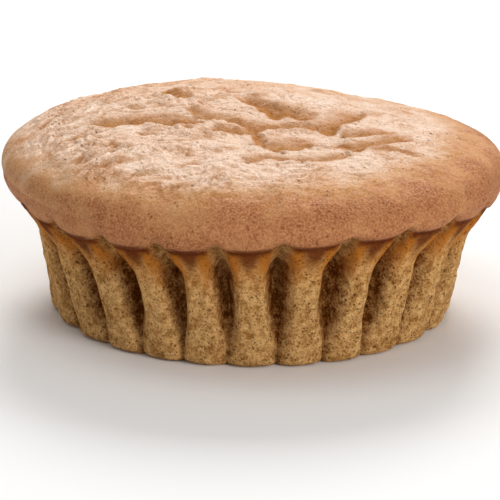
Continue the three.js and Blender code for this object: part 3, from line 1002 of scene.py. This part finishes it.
@dataclass(frozen=True)
class BakedSponge:
    """Whisked sponge, baked: open matt crumb where it lay against the tin, and above it a thin satin
    skin that the oven turned from beige to brown. Sizes in millimetres, colours in sRGB."""

    name: str = "baked whisked sponge"
    # the crumb, which looks dry and rough: straw to brown grains, with painted shade along the grooves,
    # amber along the ridges, and open to the eye through pores painted dark as shade
    crumb_light: str = "#dfb072"
    crumb_dark: str = "#9a6832"
    crumb_groove: str = "#946e3a"
    crumb_pore: str = "#4a2c10"
    ridge_amber: str = "#b97129"
    crumb_size: float = 0.42
    crumb_tone: Span = (0.76, 1.2)
    groove_dark: float = 1.25  # a groove's shade on the darkest crumb
    groove_light: float = 0.6  # how much less of it falls on the palest
    large_pores: Pores = Pores(1.5, 0.26, 0.5)
    small_pores: Pores = Pores(0.7, 0.15, 0.95)
    pore_dark: float = 0.6
    pore_depth: float = 0.8
    crumb_roughness: float = 0.95
    crumb_gloss: float = 0.08
    # the skin, which looks thin and faintly moist: beige where it puffed up, tan and brown where
    # the oven caught it, ochre painted shade down in the folds, a sandy grain, and pinholes painted dark
    skin_pale: str = "#f2d6bd"
    skin_warm: str = "#dca871"
    skin_brown: str = "#d69562"
    skin_fold: str = "#be7f2c"
    skin_pit: str = "#7a4218"
    skin_speck: str = "#dcb48e"
    skin_char: str = "#a4784e"
    patch_size: float = 7.0
    patch_noise: Span = (0.3, 0.7)
    patch_toast: float = 0.25
    warm_toast: float = 0.5
    grain_size: float = 0.42
    grain_noise: Span = (0.66, 0.34)
    grain_patches: Span = (0.35, 0.65)
    grain_least: float = 0.5
    pinholes: Pores = Pores(1.7, 0.25, 0.65)
    pinhole_dark: float = 0.65
    pinhole_depth: float = 0.35
    goose_height: float = 1.6
    grit_height: float = 0.55
    skin_roughness: Span = (0.36, 0.75)  # satin where it is pale, matt where it is brown
    skin_gloss: Span = (0.4, 0.05)  # clear, and scorched
    # both: the scorched tabs where they meet, whose brown is also painted as shade under the lip, low on
    # the crust, in the arches' roofs, round the top's edge and in the pits; their broken border, and their
    # relief, mottled like goose flesh
    tab_brown: str = "#62290a"
    border_uneven: float = 0.5
    border: Span = (0.6, 0.9)
    relief_height: float = 0.4
    ior: float = 1.4
    mottle_size: float = 1.6

    def _crumb(self, add: NodeMaker, mm: Socket, marks: dict[str, Socket]) -> tuple[Socket, Socket]:
        """The open crumb of the side.

        Args:
            add: adds a node to the material.
            mm: places on the cake in millimetres.
            marks: the mesh's attributes.

        Returns:
            Its colour, and its relief of about 0 to 1.
        """
        fine = {"Vector": mm, "Scale": 1 / self.crumb_size, "Detail": 3.0, "Roughness": 0.6}
        coarse = {"Vector": mm, "Scale": 1 / self.mottle_size, "Detail": 2.0}
        tone = add("Math", {"operation": "ADD", 0: add("TexNoise", fine), 1: add("TexNoise", coarse)})
        dark, pale = self.crumb_tone
        light = add("MapRange", {"Value": tone, "From Min": dark, "From Max": pale})
        # painted shade: the grooves darken the crumb, most where it is dark
        uneven = add("Math", {"operation": "MULTIPLY_ADD", 0: light, 1: -self.groove_light,
                              2: self.groove_dark})
        groove = add("Math", {"operation": "MULTIPLY", "use_clamp": True, 0: marks["groove"], 1: uneven})
        large, small = (pores.build(add, mm) for pores in (self.large_pores, self.small_pores))
        holes = add("Math", {"operation": "MAXIMUM", 0: large, 1: small})
        # painted shade: the pores are painted dark
        shade = add("Math", {"operation": "MULTIPLY", 0: holes, 1: self.pore_dark})
        layers = (
            ("MIX", light, self.crumb_light),
            ("MIX", marks["amber"], self.ridge_amber),
            # painted shade along the grooves
            ("MULTIPLY", groove, self.crumb_groove),
            ("MIX", marks["tab"], self.tab_brown),
            ("MIX", shade, self.crumb_pore),
        )
        colour = linear_colour(self.crumb_dark)
        for blend, amount, tint in layers:
            colour = add("Mix", {"data_type": "RGBA", "blend_type": blend, 0: amount, MIX_A: colour,
                                 MIX_B: linear_colour(tint)}, MIX_COLOUR)
        relief = add("Math", {"operation": "MULTIPLY_ADD", 0: holes, 1: -self.pore_depth, 2: tone})
        return colour, relief

    def _skin(self, add: NodeMaker, mm: Socket, marks: dict[str, Socket]) -> tuple[Socket, Socket]:
        """The browned skin of the crust.

        Args:
            add: adds a node to the material.
            mm: places on the cake in millimetres.
            marks: the mesh's attributes.

        Returns:
            Its colour, and its relief of about 0 to 1.
        """
        # broad patches brown a little sooner or later than the rest
        patch = add("TexNoise", {"Vector": mm, "Scale": 1 / self.patch_size, "Detail": 5.0,
                                 "Roughness": 0.62})
        low, high = self.patch_noise
        uneven = add("MapRange", {"Value": patch, "From Min": low, "From Max": high,
                                  "To Min": -self.patch_toast, "To Max": self.patch_toast})
        toast = add("Math", {"operation": "ADD", "use_clamp": True, 0: marks["toast"], 1: uneven})
        warm = add("MapRange", {"Value": toast, "From Max": self.warm_toast})
        brown = add("MapRange", {"Value": toast, "From Min": self.warm_toast})
        # the sandy grain is thicker in those patches, and darker where the skin is brown
        grit = add("TexNoise", {"Vector": mm, "Scale": 1 / self.grain_size, "Detail": 3.0,
                                "Roughness": 0.7})
        low, high = self.grain_noise
        speck = add("MapRange", {"Value": grit, "From Min": low, "From Max": high})
        low, high = self.grain_patches
        thick = add("MapRange", {"Value": patch, "From Min": low, "From Max": high,
                                 "To Min": self.grain_least})
        speck = add("Math", {"operation": "MULTIPLY", 0: speck, 1: thick})
        grain = add("Mix", {"data_type": "RGBA", 0: brown, MIX_A: linear_colour(self.skin_speck),
                            MIX_B: linear_colour(self.skin_char)}, MIX_COLOUR)
        holes = self.pinholes.build(add, mm)
        # painted shade: the pinholes are painted dark
        shade = add("Math", {"operation": "MULTIPLY", 0: holes, 1: self.pinhole_dark})
        layers = (
            ("MIX", warm, linear_colour(self.skin_warm)),
            ("MIX", brown, linear_colour(self.skin_brown)),
            # painted shade in the folds
            ("MIX", marks["fold"], linear_colour(self.skin_fold)),
            ("MIX", marks["tab"], linear_colour(self.tab_brown)),
            ("MULTIPLY", speck, grain),
            ("MIX", shade, linear_colour(self.skin_pit)),
        )
        colour = linear_colour(self.skin_pale)
        for blend, amount, tint in layers:
            colour = add("Mix", {"data_type": "RGBA", "blend_type": blend, 0: amount, MIX_A: colour,
                                 MIX_B: tint}, MIX_COLOUR)
        goose = add("TexNoise", {"Vector": mm, "Scale": 1 / self.mottle_size, "Detail": 2.0})
        relief = add("Math", {"operation": "MULTIPLY", 0: goose, 1: self.goose_height})
        for bumps, height in ((grit, self.grit_height), (holes, -self.pinhole_depth)):
            relief = add("Math", {"operation": "MULTIPLY_ADD", 0: bumps, 1: height, 2: relief})
        return colour, relief

    def build(self) -> bpy.types.Material:
        """Makes the material.

        Returns:
            A material that reads the mesh's attributes.
        """
        material = bpy.data.materials.new(self.name)
        material.use_nodes = True
        tree = material.node_tree
        tree.nodes.clear()
        add = partial(add_node, tree)
        place = add("TexCoord", {}, "Object")
        mm = add("VectorMath", {"operation": "SCALE", 0: place, "Scale": 1 / MM})
        marks = {mark.value: add("Attribute", {"attribute_name": mark.value}, "Fac") for mark in Mark}
        crumb, crumb_relief = self._crumb(add, mm, marks)
        skin, skin_relief = self._skin(add, mm, marks)
        # the skin ends in a broken line, not along a ruler
        edge = add("TexNoise", {"Vector": mm, "Scale": 1 / self.crumb_size, "Detail": 2.0})
        edge = add("Math", {"operation": "MULTIPLY_ADD", 0: edge, 1: self.border_uneven,
                            2: marks["browning"]})
        low, high = self.border
        is_skin = add("MapRange", {"interpolation_type": "SMOOTHSTEP", "Value": edge,
                                   "From Min": low, "From Max": high})
        colour = add("Mix", {"data_type": "RGBA", 0: is_skin, MIX_A: crumb, MIX_B: skin}, MIX_COLOUR)
        relief = add("Mix", {0: is_skin, MIX_LOW: crumb_relief, MIX_HIGH: skin_relief})
        # the skin has a soft sheen where it is pale, and none where it is scorched, brown or folded
        matt = add("Math", {"operation": "MAXIMUM", 0: marks["tab"], 1: marks["toast"]})
        matt = add("Math", {"operation": "MAXIMUM", 0: matt, 1: marks["fold"]})
        low, high = self.skin_roughness
        satin = add("MapRange", {"Value": matt, "To Min": low, "To Max": high})
        rough = add("Mix", {0: is_skin, MIX_LOW: self.crumb_roughness, MIX_HIGH: satin})
        high, low = self.skin_gloss
        sheen = add("MapRange", {"Value": marks["tab"], "To Min": high, "To Max": low})
        gloss = add("Mix", {0: is_skin, MIX_LOW: self.crumb_gloss, MIX_HIGH: sheen})
        normal = add("Bump", {"Height": relief, "Strength": 1.0, "Distance": self.relief_height * MM})
        shader = add("BsdfPrincipled", {"Base Color": colour, "Roughness": rough, "Normal": normal,
                                        "IOR": self.ior, "Specular IOR Level": gloss})
        add("OutputMaterial", {"Surface": shader})
        return material


@dataclass(frozen=True)
class PaleTable:
    """Matt painted board, near white."""

    name: str = "pale painted board"
    colour: str = "#f7f6f4"
    roughness: float = 0.9

    def build(self) -> bpy.types.Material:
        """Makes the material."""
        material = bpy.data.materials.new(self.name)
        material.use_nodes = True
        shader = material.node_tree.nodes["Principled BSDF"]
        shader.inputs["Base Color"].default_value = linear_colour(self.colour)
        shader.inputs["Roughness"].default_value = self.roughness
        return material


# ---- The cake ---------------------------------------------------------------------------------


class Zone(Enum):
    """The parts of the cake's skin, from the table up, and last the middle of its base."""

    SIDE = "side"
    UNDERSIDE = "underside"
    CROWN = "crown"
    BASE = "base"


@dataclass(frozen=True)
class Station:
    """One ring of the blank: its zone, how far along the zone it is, its radius and height."""

    zone: Zone
    along: float
    radius: float
    height: float


@dataclass
class SpongeCake:
    """The whole cake as one closed skin. Millimetres.

    Attributes:
        columns: how many points each ring has.
        side_step, crust_step: how far apart the rings are.
        underside_rings: how many rings the crust's underside has.
        inner_share: the share of the crust's radius inside which its top is an even grid.
        rim_gap: how far the underside's first ring of the blank lies over the side's last.
        dome_rise: how high the blank's cone would rise from its edge to its middle.
        tolerance: how close to a ring's place the blank's points are.
        hub: the middle point of the base lies this close to the axis and to the table.
    """

    side: PleatedSide = field(default_factory=PleatedSide)
    crust: Crust = field(default_factory=Crust)
    oven: OvenMarks = field(default_factory=OvenMarks)
    finish: BakedSponge = field(default_factory=BakedSponge)
    columns: int = 648
    side_step: float = 0.52
    crust_step: float = 0.5
    underside_rings: int = 14
    inner_share: float = 0.8
    rim_gap: float = 0.1
    dome_rise: float = 20.0
    tolerance: float = 0.004
    hub: float = 1.0
    name: str = "sponge_cake_skin"

    def stations(self) -> list[Station]:
        """The rings of the blank from the table up to the edge of the crust's middle."""
        rim = self.side.rim_height
        rings: list[Station] = []
        for climb in np.linspace(0, 1, round(rim / self.side_step) + 1).tolist():
            radius = lerp(self.side.base_radius, self.side.rim_radius, climb)
            rings.append(Station(Zone.SIDE, climb, radius, climb * rim))
        widest = rim + self.crust.widest_share * (self.crust.height - rim)
        for swing in np.linspace(0, 1, self.underside_rings + 1)[:-1].tolist():
            radius = lerp(self.side.rim_radius + self.side.ridge_flare, self.crust.radius, swing)
            height = lerp(rim + self.rim_gap, widest, swing)
            rings.append(Station(Zone.UNDERSIDE, swing, radius, height))
        for share in self.crust.shoulder_shares(self.inner_share, self.crust_step):
            height = widest + self.dome_rise * (1 - share)
            rings.append(Station(Zone.CROWN, share, share * self.crust.radius, height))
        return rings

    def _blank(self) -> bpy.types.Object:
        """Turns up a plain blank: a circle at the table, drawn up ring by ring, its top filled with
        an even grid and its base closed by a fan."""
        rings = self.stations()
        bpy.ops.object.select_all(action="DESELECT")
        first = rings[0]
        bpy.ops.mesh.primitive_circle_add(vertices=self.columns, radius=first.radius * MM)
        blank = bpy.context.active_object
        blank.name = self.name
        bpy.ops.object.mode_set(mode="EDIT")
        bpy.ops.mesh.select_mode(type="EDGE")
        bpy.ops.mesh.select_all(action="SELECT")
        for below, ring in zip(rings[:-1], rings[1:]):
            lift = (ring.height - below.height) * MM
            grow = ring.radius / below.radius
            bpy.ops.mesh.extrude_region_move(TRANSFORM_OT_translate={"value": (0, 0, lift)})
            bpy.ops.transform.resize(value=(grow, grow, 1), center_override=(0, 0, ring.height * MM))
        bpy.ops.mesh.fill_grid(span=self.columns // 4, use_interp_simple=True)
        bpy.ops.mesh.select_all(action="DESELECT")
        bpy.ops.mesh.select_non_manifold()
        bpy.ops.mesh.edge_face_add()
        bpy.ops.mesh.poke()
        bpy.ops.mesh.select_all(action="SELECT")
        bpy.ops.mesh.normals_make_consistent(inside=False)
        bpy.ops.object.mode_set(mode="OBJECT")
        return blank

    def _places(self, blank: bpy.types.Object) -> tuple[np.ndarray, np.ndarray, np.ndarray, np.ndarray]:
        """Where each point of the blank lies on the cake's skin.

        Args:
            blank: the plain blank.

        Returns:
            Bearing, the zone's place in Zone, how far along the zone it is, and the plain positions
            in millimetres.
        """
        flat = np.empty(len(blank.data.vertices) * 3)
        blank.data.vertices.foreach_get("co", flat)
        plain = flat.reshape(-1, 3) / MM
        bearing = np.arctan2(plain[:, 0], -plain[:, 1])
        radius = np.hypot(plain[:, 0], plain[:, 1])
        order = list(Zone)
        # what belongs to no ring is the even grid in the middle of the crown, or the base's middle
        zone = np.full(len(plain), order.index(Zone.CROWN))
        zone[(radius < self.hub) & (plain[:, 2] < self.hub)] = order.index(Zone.BASE)
        along = radius / self.crust.radius
        for ring in self.stations():
            off = np.maximum(np.abs(radius - ring.radius), np.abs(plain[:, 2] - ring.height))
            zone[off < self.tolerance] = order.index(ring.zone)
            along[off < self.tolerance] = ring.along
        return bearing, zone, along, plain

    def build(self) -> bpy.types.Object:
        """Makes the cake's skin and gives it its finish.

        Returns:
            The finished piece.
        """
        cake = self._blank()
        bearing, zone, along, plain = self._places(cake)
        points = plain.copy()
        marks = {mark: np.zeros(len(points)) for mark in Mark}
        side, under, crown, base = (zone == n for n in range(len(Zone)))
        points[side] = self.side.points(bearing[side], along[side])
        points[under] = self.crust.underside(bearing[under], along[under])
        # the folds' painted shade and the pits' painted dark come back with the crown
        points[crown], marks[Mark.FOLD][crown], marks[Mark.TAB][crown] = self.crust.crown(
            bearing[crown], along[crown]
        )
        points[base] = [*self.side.base_shift, 0.0]
        self.oven.wall(marks, side | under, side, bearing, along, points)
        self.oven.crown(marks, crown, bearing, along)
        middle = (points.min(axis=0) + points.max(axis=0)) / 2
        points -= [middle[0], middle[1], 0]
        cake.data.vertices.foreach_set("co", (points * MM).ravel())
        for mark, values in marks.items():
            layer = cake.data.attributes.new(mark.value, "FLOAT", "POINT")
            layer.data.foreach_set("value", np.clip(values, 0, 1))
        cake.data.update()
        bpy.ops.object.shade_smooth()
        cake.data.materials.append(self.finish.build())
        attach(cake, "root")
        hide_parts("sponge_cake")
        log.info("%s: %d points, %d faces", cake.name, len(points), len(cake.data.polygons))
        return cake


# ---- The studio -------------------------------------------------------------------------------


@dataclass(frozen=True)
class SoftLight:
    """One large soft lamp, aimed at the cake. Metres, watts and an sRGB hex colour."""

    name: str
    place: tuple[float, float, float]
    size: float
    power: float
    colour: str = "#ffffff"

    def build(self, aim: Vector) -> None:
        """Hangs the lamp and turns it to the aim."""
        bpy.ops.object.light_add(type="AREA", location=self.place)
        lamp = bpy.context.active_object
        lamp.name = self.name
        lamp.data.size = self.size
        lamp.data.energy = self.power
        lamp.data.color = linear_colour(self.colour)[:3]
        lamp.rotation_euler = (aim - lamp.location).to_track_quat("-Z", "Y").to_euler()


@dataclass(frozen=True)
class Studio:
    """A pale table, soft light and the camera of the photograph. Metres and radians, and a pixel of
    the photograph where the camera's target lies."""

    table: PaleTable = field(default_factory=PaleTable)
    lights: tuple[SoftLight, ...] = (
        SoftLight("key behind and above", (0.05, 0.70, 0.62), 0.4, 6.2),
        SoftLight("soft box overhead", (-0.15, -0.05, 0.85), 0.5, 1.5),
        SoftLight("fill from the front right", (0.7, -0.75, 0.45), 0.5, 5.5),
    )
    sky: str = "#ffffff"
    sky_strength: float = 0.36
    table_size: float = 6.0
    target: tuple[float, float, float] = (0.0, 0.0, 0.020)
    distance: float = 0.600
    elevation: float = math.radians(16.7)
    roll: float = math.radians(0.8)
    pixels_per_mm: float = 4.984
    frame_pixels: float = 500.0
    target_pixel: tuple[float, float] = (252.6, 208.1)
    sensor_mm: float = 36.0
    clip: Span = (0.01, 20.0)

    def build(self) -> None:
        """Lays the table, hangs the lamps and sets up the camera."""
        bpy.ops.mesh.primitive_plane_add(size=self.table_size, location=(0, 0, 0))
        floor = bpy.context.active_object
        floor.name = "pale_table"
        floor.data.materials.append(self.table.build())
        for light in self.lights:
            light.build(Vector(self.target))
        world = bpy.data.worlds.new("soft white room")
        world.use_nodes = True
        backdrop = world.node_tree.nodes["Background"]
        backdrop.inputs["Color"].default_value = linear_colour(self.sky)
        backdrop.inputs["Strength"].default_value = self.sky_strength
        bpy.context.scene.world = world
        bpy.context.scene.view_settings.view_transform = "Standard"
        self._camera()

    def _camera(self) -> None:
        """Sets up the camera at the photograph's viewing angle."""
        back = Vector((0, -math.cos(self.elevation), math.sin(self.elevation)))
        place = Vector(self.target) + self.distance * back
        bpy.ops.object.camera_add(location=place)
        camera = bpy.context.active_object
        camera.name = "portrait camera"
        turn = (-back).to_track_quat("-Z", "Y").to_matrix() @ Matrix.Rotation(self.roll, 3, "Z")
        camera.rotation_euler = turn.to_euler()
        focal_pixels = self.pixels_per_mm * self.distance / MM
        camera.data.sensor_width = self.sensor_mm
        camera.data.lens = focal_pixels / self.frame_pixels * self.sensor_mm
        camera.data.shift_x = (self.frame_pixels / 2 - self.target_pixel[0]) / self.frame_pixels
        camera.data.shift_y = (self.target_pixel[1] - self.frame_pixels / 2) / self.frame_pixels
        camera.data.clip_start, camera.data.clip_end = self.clip
        bpy.context.scene.camera = camera


def main() -> None:
    """Builds the cake and its studio."""
    logging.basicConfig(level=logging.INFO, format="%(name)s: %(message)s")
    SpongeCake().build()
    Studio().build()


if __name__ == "__main__":
    main()
